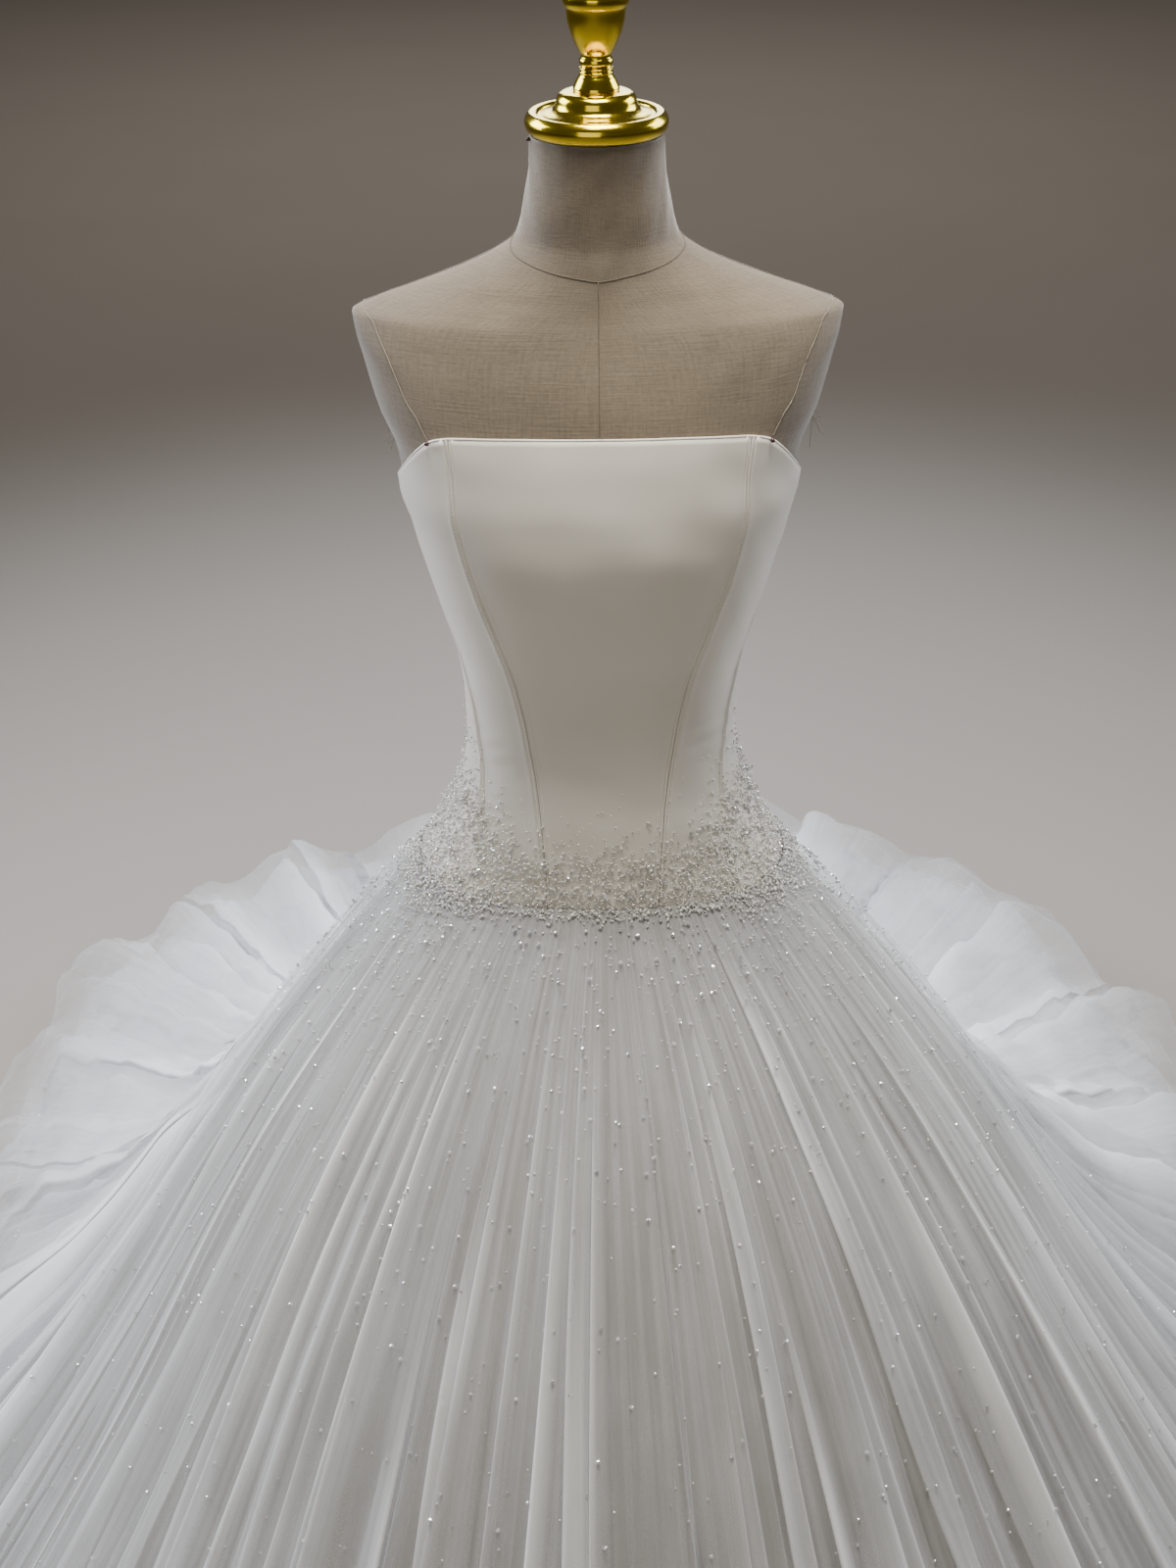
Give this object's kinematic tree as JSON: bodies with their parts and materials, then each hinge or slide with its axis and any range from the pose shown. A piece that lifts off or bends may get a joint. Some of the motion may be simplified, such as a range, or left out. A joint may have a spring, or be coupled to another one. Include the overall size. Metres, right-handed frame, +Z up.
{
  "type": "ball gown on dress form",
  "caption": "Strapless ball gown with a fitted satin bodice, a full gathered tulle skirt and a long train, on a limbless dress form with a turned finial.",
  "frame": {"origin": "centre of the stand base's underside, on the floor", "axes": "+Z up along the pole and neck, +Y towards the train's end, so the gown's front faces -Y and the wearer's left is +X"},
  "size_m": [1.6171, 2.2848, 1.6601],
  "materials": {
    "satin": "ivory duchess satin, soft sheen",
    "tulle": "layered white tulle",
    "linen": "natural linen, matt",
    "gold": "mirror-polished gold colour",
    "stand": "plain satin grey",
    "pin": "dark enamel"
  },
  "bodies": {
    "root": {"bodice_centre_front": "satin", "bodice_side_front_left": "satin", "bodice_side_front_right": "satin", "bodice_side_left": "satin", "bodice_side_right": "satin", "bodice_back_left": "satin", "bodice_back_right": "satin", "skirt_front": "tulle", "skirt_front_left": "tulle", "skirt_side_left": "tulle", "skirt_back_left": "tulle", "skirt_train": "tulle", "skirt_back_right": "tulle", "skirt_side_right": "tulle", "skirt_front_right": "tulle", "form_torso": "linen", "neck_cap": "gold", "finial": "gold", "stand_pole": "stand", "stand_base": "stand", "pin_left": "pin", "pin_right": "pin"}
  },
  "joints": []
}
